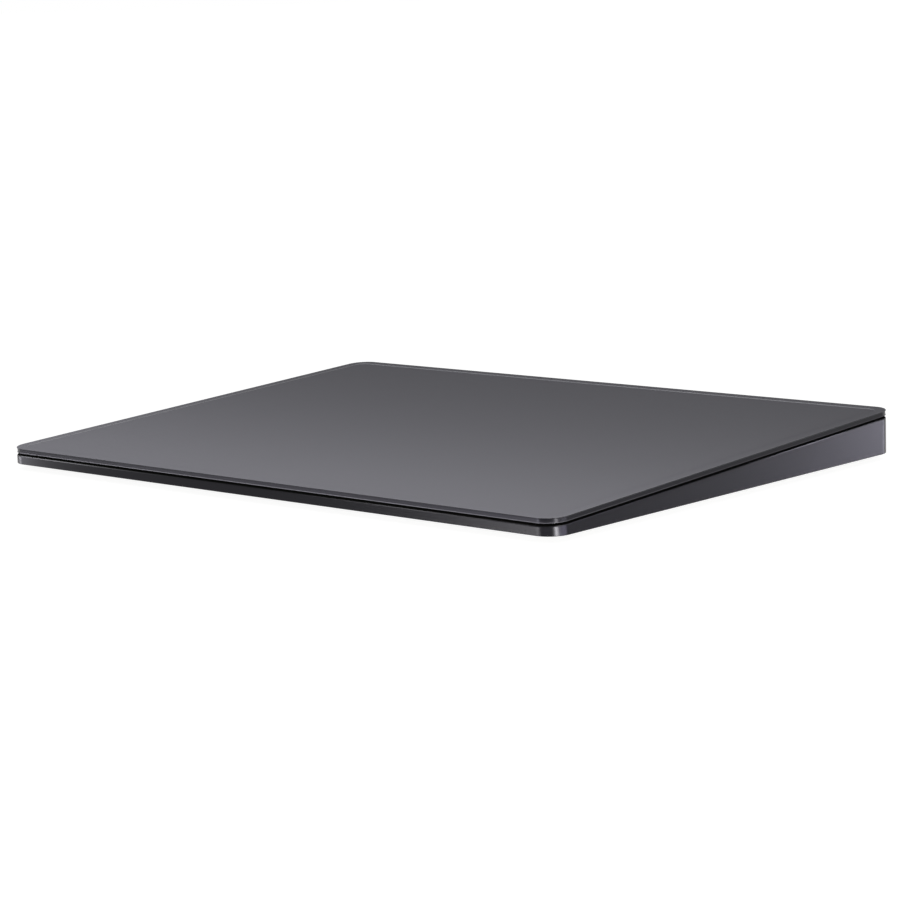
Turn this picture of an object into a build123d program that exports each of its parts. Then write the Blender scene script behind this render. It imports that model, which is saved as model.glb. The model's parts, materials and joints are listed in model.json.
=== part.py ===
"""Wireless desk trackpad: a metal wedge with a glass touch plate that floats on four leaf flexures.

Millimetres, +X to the right, +Y to the rear, +Z up. The origin is the centre of the footprint, on the
desk. The plate and all that moves with it, the flexures and the haptic unit lie parallel to the sloping
top, so they are built flat, in the deck's own frame, and tilted into place. There z is 0 at the top of
the glass, and "drop" is a distance below it.
"""
from build123d import *
from math import atan2, cos, degrees, sin, tan
import os

# Overall form
width = 160.0                   # left to right
depth = 114.9                   # front to rear
rear_rise = 6.0                 # rear edge of the top above its front edge
corner_radius = 4.5             # upright corners of body and glass
desk_gap = 1.36                 # desk to the lower edge of the body

# Movement
press_travel = 0.2              # plate pressed down on its flexures
nudge_travel = 0.15             # plate pulled to the rear or front by the haptic unit
switch_travel = 2.0             # power switch, off to on
press_clearance = 0.14          # room left under the plate when it is pressed

# Body shell
wall = 1.8
floor_thickness = 0.6
sheet_recess = 0.5              # recess under the floor for the base sheet
recess_margin = 2.2             # rim left round that recess
rim_gap = 0.44                  # open line between the body's rim and the glass
rim_chamfer = 0.15
base_chamfer = 0.3
rib_thickness = 0.8
rib_height = 1.2
overrun = 1.0                   # how far a cutter runs past what it cuts

# Underside
sheet_gap = 0.15                # sheet's edge to the recess wall
sheet_thickness = 0.5
sheet_adhesive_thickness = 0.1
sheet_chamfer = 0.15
foot_radius = 4.5
foot_gap = 0.2                  # foot to its hole in the sheet
foot_inset = 17.0               # foot's centre to the sides and ends of the body
foot_chamfer = 0.25

# Touch plate, from the top down
glass_thickness = 1.2
glass_top_chamfer = 0.15
glass_low_chamfer = 0.1
surround_height = 0.9           # moulded ring under the glass
surround_width = 2.0
surround_gap = 0.5              # ring to the inside of the body wall
board_gap = 0.2                 # ring to the sensor board
board_radius = 2.0              # corners of the sensor board and its neighbours
bond_thickness = 0.1
sensor_thickness = 0.6
stiffener_thickness = 0.3
chip_size = 6.0
chip_height = 0.7
chip_pitch = 11.0
chip_count = 3
window_gap = 0.8                # round a chip or connector in the stiffener
touch_chips_side_share = -0.22  # of the width, from the middle

# Flexures and their pads
gel_thickness = 0.3
gel_radius = 2.6
load_pad_thickness = 0.5
load_pad_radius = 3.0
leaf_thickness = 0.35
leaf_width = 8.0
leaf_span = 16.0                # pad to the first fixed screw
leaf_screw_pitch = 5.0
leaf_side_gap = 6.0             # leaf to the inside of the side wall
leaf_notch = 1.5                # waist cut in from each side
leaf_notch_length = 6.8
rear_pad_setback = 14.0         # rear pads to the rear edge of the glass
gauge_length = 4.0
gauge_width = 2.4
gauge_thickness = 0.1

# Screws, each drawn as its head alone
screw_head_radius = 1.25
screw_head_height = 0.35

# Haptic unit
core_thickness = 1.2
yoke_depth = 3.5
pole_length = 8.0
pole_width = 6.0
pole_pitch = 16.0
pole_count = 3
coil_wall = 0.4                 # winding above and below a pole
coil_side = 2.0                 # winding beside a pole
coil_length = 6.5
coil_fit = 0.03
coil_corner = 0.35
bracket_thickness = 0.4
bracket_margin = 1.0
bracket_ear = 7.0
coil_window_gap = 0.3
haptic_floor_gap = 0.15
air_gap_spare = 0.25            # pole faces to the armature, beyond the nudge
armature_depth = 2.5

# Battery
battery_thickness = 3.0
battery_strip_thickness = 0.2
battery_strip_width = 8.0
battery_strip_share = 0.3       # of the cell's length, each strip from the middle
battery_edge_chamfer = 0.6
battery_corner_radius = 1.6
battery_room = 0.2              # for swelling, above the cell
battery_gap = 0.6               # cell to what lies beside it
protection_width = 2.6
protection_length = 22.0
protection_thickness = 1.0

# Main board and what is on it
ledge_height = 0.6              # machined ledges under the boards
ledge_width = 3.2
pcb_thickness = 0.8
main_width = 16.0
main_edge_gap = 0.1             # board's rear edge to the rear face of the switch
front_ledge_setback = 8.0
board_screw_inset = 2.1
connector_height = 0.6
connector_depth = 2.6
can_height = 1.0
can_skin = 0.15
can_gap = 0.5                   # can to the connectors and to the board's edge
can_length = 11.0
radio_can_share = 0.31          # centres along the board, front to rear
board_chips_share = 0.49
power_can_share = 0.67
board_chip_size = 4.5
board_chip_pitch = 6.5
board_chip_count = 2
flex_thickness = 0.15
touch_flex_width = 7.0
touch_flex_run = 13.0           # connector to connector
battery_flex_width = 6.0
power_flex_width = 2.0
harness_width = 2.3
harness_tab = 3.0
antenna_width = 5.0
antenna_room = 0.5
foil_inset = 0.6
foil_thickness = 0.1
foil_lap = 2.0

# Charge socket, a 24-pin reversible receptacle
socket_width = 8.94
socket_height = 3.26
socket_skin = 0.3
socket_depth = 7.3
socket_mouth_recess = 0.3       # mouth to the outside of the wall
socket_wall_gap = 0.2           # shell to its aperture in the wall
tongue_width = 6.69
tongue_thickness = 0.7
tongue_length = 4.45
tongue_block = 2.0
aperture_chamfer = 0.3
socket_board_margin = 6.5       # board beyond the shell, each side
socket_board_front = 2.9        # board in front of the shell
clamp_thickness = 0.3
clamp_length = 3.4
clamp_fit = 0.02
clamp_ear = 4.0

# Power switch
knob_width = 5.4
knob_height = 2.6
knob_gap = 0.2
knob_recess = 0.3
knob_groove = 0.35
knob_groove_pitch = 0.9
knob_groove_count = 3
flange_thickness = 0.8
flange_gap = 0.15
flange_lap = 0.4
slider_width = 3.0
slider_height = 1.6
slider_depth = 1.2
tab_width = 1.2
tab_depth = 0.4
tab_fit = 0.04
housing_gap = 0.15              # housing to the heads of the board's rear screws
housing_depth = 3.4

# Slope of the top, and the deck's frame
tilt = atan2(rear_rise, depth)
floor_low = desk_gap + sheet_recess
floor_top = floor_low + floor_thickness
ring_clear = press_travel + press_clearance
front_height = floor_top + ring_clear + (glass_thickness + surround_height) / cos(tilt)
mid_height = front_height + rear_rise / 2
DECK = Location((0, 0, mid_height), (degrees(tilt), 0, 0))

# Drops below the top of the glass
bond_drop = glass_thickness
sensor_drop = bond_drop + bond_thickness
stiffener_drop = sensor_drop + sensor_thickness
gel_drop = stiffener_drop + stiffener_thickness
load_drop = gel_drop + gel_thickness
leaf_drop = load_drop + load_pad_thickness
leaf_low_drop = leaf_drop + leaf_thickness
coil_drop = gel_drop + ring_clear
core_drop = coil_drop + coil_wall
core_low_drop = core_drop + core_thickness
coil_low_drop = core_low_drop + coil_wall
bracket_low_drop = core_low_drop + bracket_thickness

# Deck's front and rear edges, measured along the slope
glass_front = -depth / 2 / cos(tilt)
glass_rear = (depth / 2 - glass_thickness * sin(tilt)) / cos(tilt)
glass_middle = (glass_front + glass_rear) / 2


def clear_y(drop, height):
    """Where the plane at this drop is this height above the floor."""
    return (floor_top + height + drop / cos(tilt) - front_height) / tan(tilt) - depth / 2


def along_deck(y, drop):
    """Place along the slope of the point that has this y at this drop."""
    return (y - drop * sin(tilt)) / cos(tilt)


def plan_y(v, drop):
    """The y of a point at this place along the slope, at this drop."""
    return v * cos(tilt) + drop * sin(tilt)


def block(x0, x1, y0, y1, z0, z1, radius=0):
    """Upright block between two corners, with its upright edges rounded."""
    outline = RectangleRounded(x1 - x0, y1 - y0, radius) if radius else Rectangle(x1 - x0, y1 - y0)
    return Pos((x0 + x1) / 2, (y0 + y1) / 2, z0) * extrude(outline, amount=z1 - z0)


def disc(radius, x, y, z0, z1):
    """Upright cylinder between two heights."""
    return Pos(x, y, z0) * extrude(Circle(radius), amount=z1 - z0)


def along_y(outline, y0, y1):
    """Outline drawn in x and z, run from y0 to y1."""
    return extrude(Plane.XZ.offset(-y1) * outline, amount=y1 - y0)


def stadium(long, high):
    """Outline with half-round ends."""
    return SlotOverall(long, high)


def ribbon(places, thickness):
    """Outline of a flat lead, from the places of its lower face."""
    upper = [(u, z + thickness) for u, z in reversed(places)]
    return make_face(Polyline(*places, *upper, close=True))


def deck_sheet(inset, drop, thickness, radius):
    """Rounded sheet in the deck's frame, inset from the edge of the glass."""
    outline = RectangleRounded(width - 2 * inset, glass_rear - glass_front - 2 * inset, radius)
    return Pos(0, glass_middle, -drop) * extrude(outline, amount=-thickness)


def screw_head(x, y, z):
    """Head of a screw that bears on the face at this height."""
    return disc(screw_head_radius, x, y, z, z + screw_head_height)


def group(solids):
    """Several separate solids kept as one node."""
    return Compound(children=list(solids))


# Where the flexures stand
leaf_x = width / 2 - wall - leaf_side_gap - leaf_width / 2
leaf_inner = leaf_x - leaf_width / 2
front_pad_v = along_deck(clear_y(leaf_low_drop, ring_clear), leaf_low_drop) + leaf_width / 2
rear_pad_v = glass_rear - rear_pad_setback
# side, place of the pad along the slope, and the way its leaf runs from there
corners = {
    "front_left": (-1, front_pad_v, 1),
    "front_right": (1, front_pad_v, 1),
    "rear_left": (-1, rear_pad_v, -1),
    "rear_right": (1, rear_pad_v, -1),
}

# Where the haptic unit stands
haptic_low_drop = max(coil_low_drop, bracket_low_drop)
haptic_v = along_deck(clear_y(haptic_low_drop, haptic_floor_gap), haptic_low_drop)
yoke_v = haptic_v + bracket_margin
pole_v = yoke_v + yoke_depth
face_v = pole_v + pole_length
armature_v = face_v + nudge_travel + air_gap_spare
pole_half_row = (pole_count - 1) * pole_pitch / 2
pole_places = [i * pole_pitch - pole_half_row for i in range(pole_count)]
core_half = pole_half_row + pole_width / 2
bracket_half = core_half + bracket_ear
bracket_rear = face_v - bracket_margin
haptic_screw_x = core_half + bracket_ear / 2
haptic_screw_v = (haptic_v + bracket_ear / 2, bracket_rear - bracket_ear / 2)

# Levels and edges of the boards
board_low = floor_top + ledge_height
board_top = board_low + pcb_thickness
connector_top = board_top + connector_height
inner_rear = depth / 2 - wall
flange_rear = inner_rear - flange_gap
flange_front = flange_rear - flange_thickness
housing_rear = flange_front - flange_gap
housing_front = housing_rear - housing_depth
main_rear = housing_rear - main_edge_gap
main_front = clear_y(gel_drop, connector_top - floor_top + flex_thickness + ring_clear)
main_right = leaf_inner - harness_width - battery_gap
main_left = main_right - main_width
main_x = (main_left + main_right) / 2
main_length = main_rear - main_front
ledge_y = (main_front + front_ledge_setback, main_rear - board_screw_inset)
board_screw_x = (main_left + board_screw_inset, main_right - board_screw_inset)
touch_flex_x = main_left + touch_flex_width / 2 + can_skin
connector_y = main_front + connector_depth / 2
touch_connector_y = connector_y - touch_flex_run

# Charge socket and its board
socket_mouth = depth / 2 - socket_mouth_recess
socket_front = socket_mouth - socket_depth
socket_z = board_top + socket_height / 2
socket_half = socket_width / 2
socket_board_half = socket_half + socket_board_margin
socket_board_y = socket_front - socket_board_front
clamp_y = (socket_front + inner_rear) / 2
clamp_half = socket_half + clamp_fit + clamp_thickness
socket_screw_x = clamp_half + clamp_ear / 2

# Battery, between the haptic unit, the socket's board, the flexures and the main board
haptic_rear = plan_y(armature_v + armature_depth, core_low_drop)
battery_need = battery_strip_thickness + battery_thickness + battery_room + press_travel
battery_front = max(clear_y(gel_drop, battery_need), haptic_rear + 2 * battery_gap + rib_thickness)
battery_rear = socket_board_y - battery_gap
battery_left = harness_width + battery_gap - leaf_inner
protection_right = main_left - battery_gap
protection_left = protection_right - protection_width
battery_right = protection_left - battery_gap
battery_x = (battery_left + battery_right) / 2
battery_y = (battery_front + battery_rear) / 2

# Power switch
slot_width = knob_width + switch_travel + 2 * knob_gap
slot_height = knob_height + 2 * knob_gap
slot_x = main_x + switch_travel / 2
knob_face = depth / 2 - knob_recess
housing_half = main_width / 2 - board_screw_inset - screw_head_radius - housing_gap

# Flat leads of the strain gauges
harness_y = plan_y(haptic_v, haptic_low_drop) - battery_gap - harness_width


def leaf_joint_places(side, pad_v, way):
    """Places of a leaf's two fixed screws."""
    first = pad_v + way * leaf_span
    return [(side * leaf_x, first), (side * leaf_x, first + way * leaf_screw_pitch)]


def make_leaf(side, pad_v, way):
    """Leaf flexure: round ends, and a waist between its load pad and its fixed end."""
    run = leaf_span + leaf_screw_pitch
    outline = Rot(0, 0, 90) * SlotCenterToCenter(run, leaf_width)
    waist = Rot(0, 0, 90) * SlotCenterToCenter(leaf_notch_length, 2 * leaf_notch)
    middle = leaf_span / 2 - run / 2
    for edge in (-leaf_width / 2, leaf_width / 2):
        outline -= Pos(edge, way * middle) * waist
    return DECK * Pos(side * leaf_x, pad_v + way * run / 2, -leaf_drop) * extrude(
        outline, amount=-leaf_thickness)


def gauge_root(pad_v, way):
    """Where a gauge's tail leaves the leaf, just short of the first fixed screw."""
    return pad_v + way * (leaf_span - screw_head_radius - gauge_width / 2)


def make_gauge(side, pad_v, way):
    """Foil gauge on top of a leaf's waist, with a tail to the leaf's inner edge."""
    waist_v = pad_v + way * leaf_span / 2
    root_v = gauge_root(pad_v, way)
    tail = gauge_width / 2
    centre = side * leaf_x
    inner = side * leaf_inner - side * flex_thickness
    foil = Pos(centre, waist_v) * Rectangle(gauge_width, gauge_length)
    stem_x = side * (leaf_x - leaf_width / 2 + leaf_notch + tail)
    stem = Pos(stem_x, (waist_v + root_v) / 2) * Rectangle(tail, abs(root_v - waist_v) + tail)
    foot = Pos((stem_x + inner) / 2, root_v) * Rectangle(abs(stem_x - inner), tail)
    bridge = Pos((stem_x + centre) / 2, waist_v) * Rectangle(abs(stem_x - centre), tail)
    return DECK * Pos(0, 0, -leaf_drop) * extrude(foil + stem + foot + bridge, amount=gauge_thickness)


def above_floor():
    """All the room above the floor's top face."""
    return block(-width, width, -depth, depth, floor_top, mid_height + depth)


def make_ledges():
    """What stands on the floor: sloped lands for flexures and haptic unit, board ledges, battery rib."""
    ledges = Part()
    for side, pad_v, way in corners.values():
        (x, v0), (x, v1) = leaf_joint_places(side, pad_v, way)
        land = Pos(x, (v0 + v1) / 2, -leaf_low_drop) * Rectangle(leaf_width, leaf_screw_pitch + leaf_width)
        ledges += DECK * extrude(land, amount=-mid_height)
    for x0, x1 in ((-bracket_half, -core_half), (core_half, bracket_half)):
        ledges += DECK * block(x0, x1, haptic_v, bracket_rear, -mid_height, -bracket_low_drop)
    for y in ledge_y:
        ledges += block(main_left, main_right, y - ledge_width / 2, y + ledge_width / 2, floor_low, board_low)
    for x in (-socket_screw_x, socket_screw_x):
        ledges += block(x - ledge_width / 2, x + ledge_width / 2, socket_board_y, inner_rear, floor_low,
                        board_low)
    rib_y = battery_front - battery_gap
    ledges += block(battery_left, battery_right, rib_y - rib_thickness, rib_y, floor_low,
                    floor_top + rib_height)
    room = block(-width / 2 + wall / 2, width / 2 - wall / 2, -depth / 2 + wall / 2, depth / 2 - wall / 2,
                 (floor_low + floor_top) / 2, front_height + rear_rise)
    return ledges & room


def make_enclosure():
    """Wedge tray: sloped rim, floor with its ledges, recess below, and two apertures in the rear wall."""
    outer = block(-width / 2, width / 2, -depth / 2, depth / 2, desk_gap, front_height + rear_rise,
                  corner_radius)
    outer = chamfer(outer.edges().group_by(Axis.Z)[0], base_chamfer)
    half_x = width / 2 - wall
    half_y = depth / 2 - wall
    outer -= block(-half_x, half_x, -half_y, half_y, floor_top, front_height + rear_rise + overrun,
                   corner_radius - wall)
    edge = recess_margin
    outer -= block(edge - width / 2, width / 2 - edge, edge - depth / 2, depth / 2 - edge,
                   desk_gap - overrun, floor_low, corner_radius - edge)
    outer += make_ledges()
    for x, long, high in ((0, socket_width + 2 * socket_wall_gap, socket_height + 2 * socket_wall_gap),
                          (slot_x, slot_width, slot_height)):
        outer -= Pos(x, 0, socket_z) * along_y(stadium(long, high), inner_rear - overrun, depth / 2 + overrun)
        flare = stadium(long + 2 * aperture_chamfer, high + 2 * aperture_chamfer)
        outer -= Pos(x, 0, socket_z) * extrude(Plane.XZ.offset(-depth / 2) * flare, amount=aperture_chamfer,
                                               taper=45)
    outer -= DECK * Pos(0, 0, -glass_thickness - rim_gap) * extrude(Rectangle(2 * width, 2 * depth),
                                                                    amount=mid_height + depth)
    sloped = outer.faces().filter_by(lambda face: face.normal_at().dot(DECK.z_axis.direction) > cos(tilt / 2))
    rim = sloped.sort_by(SortBy.AREA)[-1]
    return chamfer(rim.outer_wire().edges(), rim_chamfer)


def make_feet():
    """Four round rubber feet, seated on the adhesive in the sheet's holes."""
    top = floor_low - sheet_adhesive_thickness
    feet = {}
    for name, (side, pad_v, way) in corners.items():
        foot = disc(foot_radius, side * (width / 2 - foot_inset), way * (foot_inset - depth / 2), 0, top)
        feet["foot_" + name] = chamfer(foot.edges().group_by(Axis.Z)[0], foot_chamfer)
    return feet


def make_base_sheet():
    """Thin cover in the recess under the floor, with a hole for each foot."""
    edge = recess_margin + sheet_gap
    top = floor_low - sheet_adhesive_thickness
    sheet = block(edge - width / 2, width / 2 - edge, edge - depth / 2, depth / 2 - edge,
                  top - sheet_thickness, top, corner_radius - edge)
    sheet = chamfer(sheet.faces().sort_by(Axis.Z)[0].edges(), sheet_chamfer)
    for side, pad_v, way in corners.values():
        sheet -= disc(foot_radius + foot_gap, side * (width / 2 - foot_inset),
                      way * (foot_inset - depth / 2), 0, floor_low)
    return sheet


def make_base_adhesive():
    """Full sheet of adhesive between the floor and the base sheet."""
    edge = recess_margin + sheet_gap
    return block(edge - width / 2, width / 2 - edge, edge - depth / 2, depth / 2 - edge,
                 floor_low - sheet_adhesive_thickness, floor_low, corner_radius - edge)


def make_glass():
    """Glass plate over the whole top, with its edges eased."""
    glass = deck_sheet(0, 0, glass_thickness, corner_radius)
    glass = chamfer(glass.faces().sort_by(Axis.Z)[-1].edges(), glass_top_chamfer)
    glass = chamfer(glass.faces().sort_by(Axis.Z)[0].edges(), glass_low_chamfer)
    return DECK * glass


ring_inset = wall + surround_gap
sensor_inset = ring_inset + surround_width + board_gap
touch_chips_x = touch_chips_side_share * width
touch_chips_v = (haptic_v + front_pad_v) / 2
touch_chip_places = [(touch_chips_x + (i - (chip_count - 1) / 2) * chip_pitch, touch_chips_v)
                     for i in range(chip_count)]
touch_connector_v = along_deck(touch_connector_y, stiffener_drop)


def make_plate_stack():
    """What is bonded under the glass and moves with it."""
    ring = deck_sheet(ring_inset, bond_drop, surround_height, corner_radius - ring_inset)
    ring -= deck_sheet(ring_inset + surround_width, bond_drop - overrun, surround_height + 2 * overrun,
                       board_radius)
    stiffener = deck_sheet(sensor_inset, stiffener_drop, stiffener_thickness, board_radius)
    window = chip_size + 2 * window_gap
    chips = []
    for x, v in touch_chip_places:
        stiffener -= Pos(x, v, -gel_drop) * extrude(Rectangle(window, window), amount=overrun)
        chips.append(DECK * Pos(x, v, -stiffener_drop) * extrude(Rectangle(chip_size, chip_size),
                                                                 amount=-chip_height))
    stiffener -= Pos(touch_flex_x, touch_connector_v, -gel_drop) * extrude(
        Rectangle(touch_flex_width + 2 * window_gap, connector_depth + 2 * window_gap),
        amount=overrun)
    connector = Pos(touch_flex_x, touch_connector_v, -stiffener_drop) * extrude(
        Rectangle(touch_flex_width, connector_depth), amount=-connector_height)
    armature = block(-core_half, core_half, armature_v, armature_v + armature_depth, -core_low_drop,
                     -gel_drop)
    gels = [DECK * disc(gel_radius, side * leaf_x, pad_v, -load_drop, -gel_drop)
            for side, pad_v, way in corners.values()]
    return {
        "plate_surround": DECK * ring,
        "plate_adhesive": DECK * deck_sheet(sensor_inset, bond_drop, bond_thickness, board_radius),
        "touch_sensor_board": DECK * deck_sheet(sensor_inset, sensor_drop, sensor_thickness, board_radius),
        "touch_chips": group(chips),
        "touch_connector": DECK * connector,
        "stiffener_plate": DECK * stiffener,
        "armature_bar": DECK * armature,
        "gel_pads": group(gels),
    }


def make_pads():
    """Load pads, each welded on the free end of its leaf."""
    return {"load_pads": group(DECK * disc(load_pad_radius, side * leaf_x, pad_v, -leaf_drop, -load_drop)
                               for side, pad_v, way in corners.values())}


def make_flexures():
    """Four leaves with their gauges and the screws at their fixed ends."""
    nodes = {"flexure_" + name: make_leaf(*place) for name, place in corners.items()}
    nodes["strain_gauges"] = group(make_gauge(*place) for place in corners.values())
    nodes["flexure_screws"] = group(DECK * screw_head(x, v, -leaf_drop)
                                    for place in corners.values() for x, v in leaf_joint_places(*place))
    return nodes


def make_gauge_flex():
    """Leads on the floor beside the leaves: a tab up to each gauge, and a run to the main board."""
    tall = floor_top + flex_thickness
    y_front = plan_y(front_pad_v + leaf_span, leaf_low_drop)
    y_rear = plan_y(rear_pad_v - leaf_span, leaf_low_drop)
    lead_inner = leaf_inner - harness_width
    leads = []
    for hand in (-1, 1):
        x0, x1 = sorted((hand * leaf_inner, hand * lead_inner))
        lead = block(x0, x1, min(harness_y, y_front - gauge_width), y_rear + gauge_width, floor_top, tall)
        for side, pad_v, way in corners.values():
            if side == hand:
                t0, t1 = sorted((hand * leaf_inner, hand * (leaf_inner - flex_thickness)))
                root = gauge_root(pad_v, way)
                tab = DECK * block(t0, t1, root - gauge_width / 4, root + gauge_width / 4, -mid_height,
                                   -leaf_drop)
                lead += tab & above_floor()
        leads.append(lead)
    run_end = touch_flex_x + harness_width / 2
    leads[0] += block(-leaf_inner, run_end, harness_y, harness_y + harness_width, floor_top, tall)
    leads[0] += block(run_end - harness_width, run_end, harness_y, main_front + connector_depth, floor_top,
                      tall)
    tab_y = sum(ledge_y) / 2
    leads[1] += block(main_right - harness_tab, leaf_inner, tab_y, tab_y + connector_depth, floor_top, tall)
    return group(leads)


def make_haptic_unit():
    """Comb-shaped core with a coil on each pole, on a bracket with a window for each coil."""
    comb = block(-core_half, core_half, yoke_v, pole_v, -core_low_drop, -core_drop)
    bracket = block(-bracket_half, bracket_half, haptic_v, bracket_rear, -bracket_low_drop, -core_low_drop)
    coil_v = (pole_v + face_v) / 2
    coil_out = pole_width / 2 + coil_side
    coils = []
    for x in pole_places:
        comb += block(x - pole_width / 2, x + pole_width / 2, pole_v, face_v, -core_low_drop, -core_drop)
        coil = Pos(x, 0, -(core_drop + core_low_drop) / 2) * along_y(
            RectangleRounded(2 * coil_out, core_thickness + 2 * coil_wall, coil_corner),
            coil_v - coil_length / 2, coil_v + coil_length / 2)
        half = pole_width / 2 + coil_fit
        coil -= block(x - half, x + half, pole_v, face_v, -core_low_drop - coil_fit, coil_fit - core_drop)
        coils.append(DECK * coil)
        reach = coil_out + coil_window_gap
        span = coil_length / 2 + coil_window_gap
        bracket -= block(x - reach, x + reach, coil_v - span, coil_v + span, -bracket_low_drop - overrun,
                         overrun - core_low_drop)
    screws = [DECK * screw_head(x, v, -core_low_drop) for x in (-haptic_screw_x, haptic_screw_x)
              for v in haptic_screw_v]
    return {
        "haptic_core": DECK * comb,
        "haptic_bracket": DECK * bracket,
        "haptic_coils": group(coils),
        "haptic_screws": group(screws),
    }


def make_battery():
    """Flat pouch cell on two adhesive strips, its protection board and its lead."""
    low = floor_top + battery_strip_thickness
    cell = block(battery_left, battery_right, battery_front, battery_rear, low, low + battery_thickness,
                 battery_corner_radius)
    cell = chamfer(cell.edges().group_by(Axis.Z)[0] + cell.edges().group_by(Axis.Z)[-1], battery_edge_chamfer)
    strips = []
    for hand in (-1, 1):
        x = battery_x + hand * battery_strip_share * (battery_right - battery_left)
        strips.append(block(x - battery_strip_width / 2, x + battery_strip_width / 2,
                            battery_front + battery_gap, battery_rear - battery_gap, floor_top, low))
    protection_top = floor_top + protection_thickness
    protection = block(protection_left, protection_right, battery_y - protection_length / 2,
                       battery_y + protection_length / 2, floor_top, protection_top)
    protection_x = (protection_left + protection_right) / 2
    places = [(protection_left, protection_top), (protection_x, protection_top),
              (main_left, connector_top), (main_left + connector_depth, connector_top)]
    lead = along_y(ribbon(places, flex_thickness), battery_y - battery_flex_width / 2,
                   battery_y + battery_flex_width / 2)
    return {
        "battery_cell": cell,
        "battery_adhesive": group(strips),
        "battery_protection_board": protection,
        "battery_flex": lead,
    }


def make_can(share):
    """Pressed shield can, open below."""
    y = main_front + share * main_length
    half = can_length / 2
    inner = half - can_skin
    left = main_left + connector_depth + can_gap
    right = main_right - can_gap
    can = block(left, right, y - half, y + half, board_top, board_top + can_height)
    return can - block(left + can_skin, right - can_skin, y - inner, y + inner, board_top - overrun,
                       board_top + can_height - can_skin)


def make_main_board():
    """Board on two ledges, with its chips, connectors and screws."""
    board = block(main_left, main_right, main_front, main_rear, board_low, board_top)
    chips = []
    for i in range(board_chip_count):
        x = main_x + (i - (board_chip_count - 1) / 2) * board_chip_pitch
        y = main_front + board_chips_share * main_length
        half = board_chip_size / 2
        chips.append(block(x - half, x + half, y - half, y + half, board_top, board_top + chip_height))
    touch = block(touch_flex_x - touch_flex_width / 2, touch_flex_x + touch_flex_width / 2,
                  main_front, main_front + connector_depth, board_top, connector_top)
    battery = block(main_left, main_left + connector_depth, battery_y - battery_flex_width / 2,
                    battery_y + battery_flex_width / 2, board_top, connector_top)
    tall = floor_top + flex_thickness
    front_lead = block(touch_flex_x - harness_width / 2, touch_flex_x + harness_width / 2,
                       main_front, main_front + connector_depth, tall, board_low)
    tab_y = sum(ledge_y) / 2
    side_lead = block(main_right - harness_tab, main_right, tab_y, tab_y + connector_depth, tall, board_low)
    return {
        "main_board": board,
        "main_board_screws": group(screw_head(x, y, board_top) for x in board_screw_x for y in ledge_y),
        "board_chips": group(chips),
        "board_connectors": group([touch, battery, front_lead, side_lead]),
        "shield_can_radio": make_can(radio_can_share),
        "shield_can_power": make_can(power_can_share),
    }


def make_touch_flex():
    """Flat lead from the sensor board's connector to the main board's."""
    low = stiffener_drop + connector_height + flex_thickness / cos(tilt)
    near = touch_connector_y - connector_depth / 2
    far = touch_connector_y + connector_depth / 2
    places = [(y, front_height + (y + depth / 2) * tan(tilt) - low / cos(tilt)) for y in (near, far)]
    places += [(main_front, connector_top), (main_front + connector_depth, connector_top)]
    profile = Plane.YZ.offset(touch_flex_x - touch_flex_width / 2) * ribbon(places, flex_thickness)
    return extrude(profile, amount=touch_flex_width)


def make_antenna():
    """Plastic carrier level with the board's top, with the aerial's foil on it and on the board."""
    front = clear_y(gel_drop, board_top - floor_top + foil_thickness + ring_clear)
    carrier = block(main_right - antenna_width, main_right, front, main_front - antenna_room, floor_top,
                    board_top)
    foil = block(main_right - antenna_width + foil_inset, main_right - foil_inset, front + foil_inset,
                 main_front + foil_lap, board_top, board_top + foil_thickness)
    return {"antenna_carrier": carrier, "antenna_foil": foil}


def make_charge_socket():
    """Receptacle shell, its moulded tongue, the board below, the clamp over it and two screws."""
    out = stadium(socket_width, socket_height)
    bore = stadium(socket_width - 2 * socket_skin, socket_height - 2 * socket_skin)
    shell = Pos(0, 0, socket_z) * (along_y(out, socket_front, socket_mouth)
                                   - along_y(bore, socket_front - overrun, socket_mouth + overrun))
    fit = 2 * (socket_skin + clamp_fit)
    block_out = stadium(socket_width - fit, socket_height - fit)
    tongue = along_y(block_out, socket_front, socket_front + tongue_block)
    blade = along_y(Rectangle(tongue_width, tongue_thickness), socket_front + tongue_block,
                    socket_front + tongue_block + tongue_length)
    board = block(-socket_board_half, socket_board_half, socket_board_y, inner_rear - flange_gap, board_low,
                  board_top)
    hat_top = board_top + socket_height + clamp_fit
    hat = Rectangle(2 * clamp_half, hat_top + clamp_thickness - board_top)
    hat -= Pos(0, -clamp_thickness) * Rectangle(2 * (clamp_half - clamp_thickness),
                                                hat_top + clamp_thickness - board_top)
    hat = Pos(0, (board_top + hat_top + clamp_thickness) / 2) * hat
    for hand in (-1, 1):
        hat += Pos(hand * (clamp_half + clamp_ear / 2), board_top + clamp_thickness / 2) * Rectangle(
            clamp_ear, clamp_thickness)
    clamp = along_y(hat, clamp_y - clamp_length / 2, clamp_y + clamp_length / 2)
    screws = [screw_head(x, clamp_y, board_top + clamp_thickness) for x in (-socket_screw_x, socket_screw_x)]
    lead_y = socket_board_y + power_flex_width
    lead = block(socket_half, main_left + connector_depth, lead_y - power_flex_width / 2,
                 lead_y + power_flex_width / 2, board_top, board_top + flex_thickness)
    return {
        "charge_socket_shell": shell,
        "charge_socket_tongue": Pos(0, 0, socket_z) * (tongue + blade),
        "charge_socket_board": board,
        "charge_socket_clamp": clamp,
        "charge_socket_screws": group(screws),
        "power_flex": lead,
    }


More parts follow.
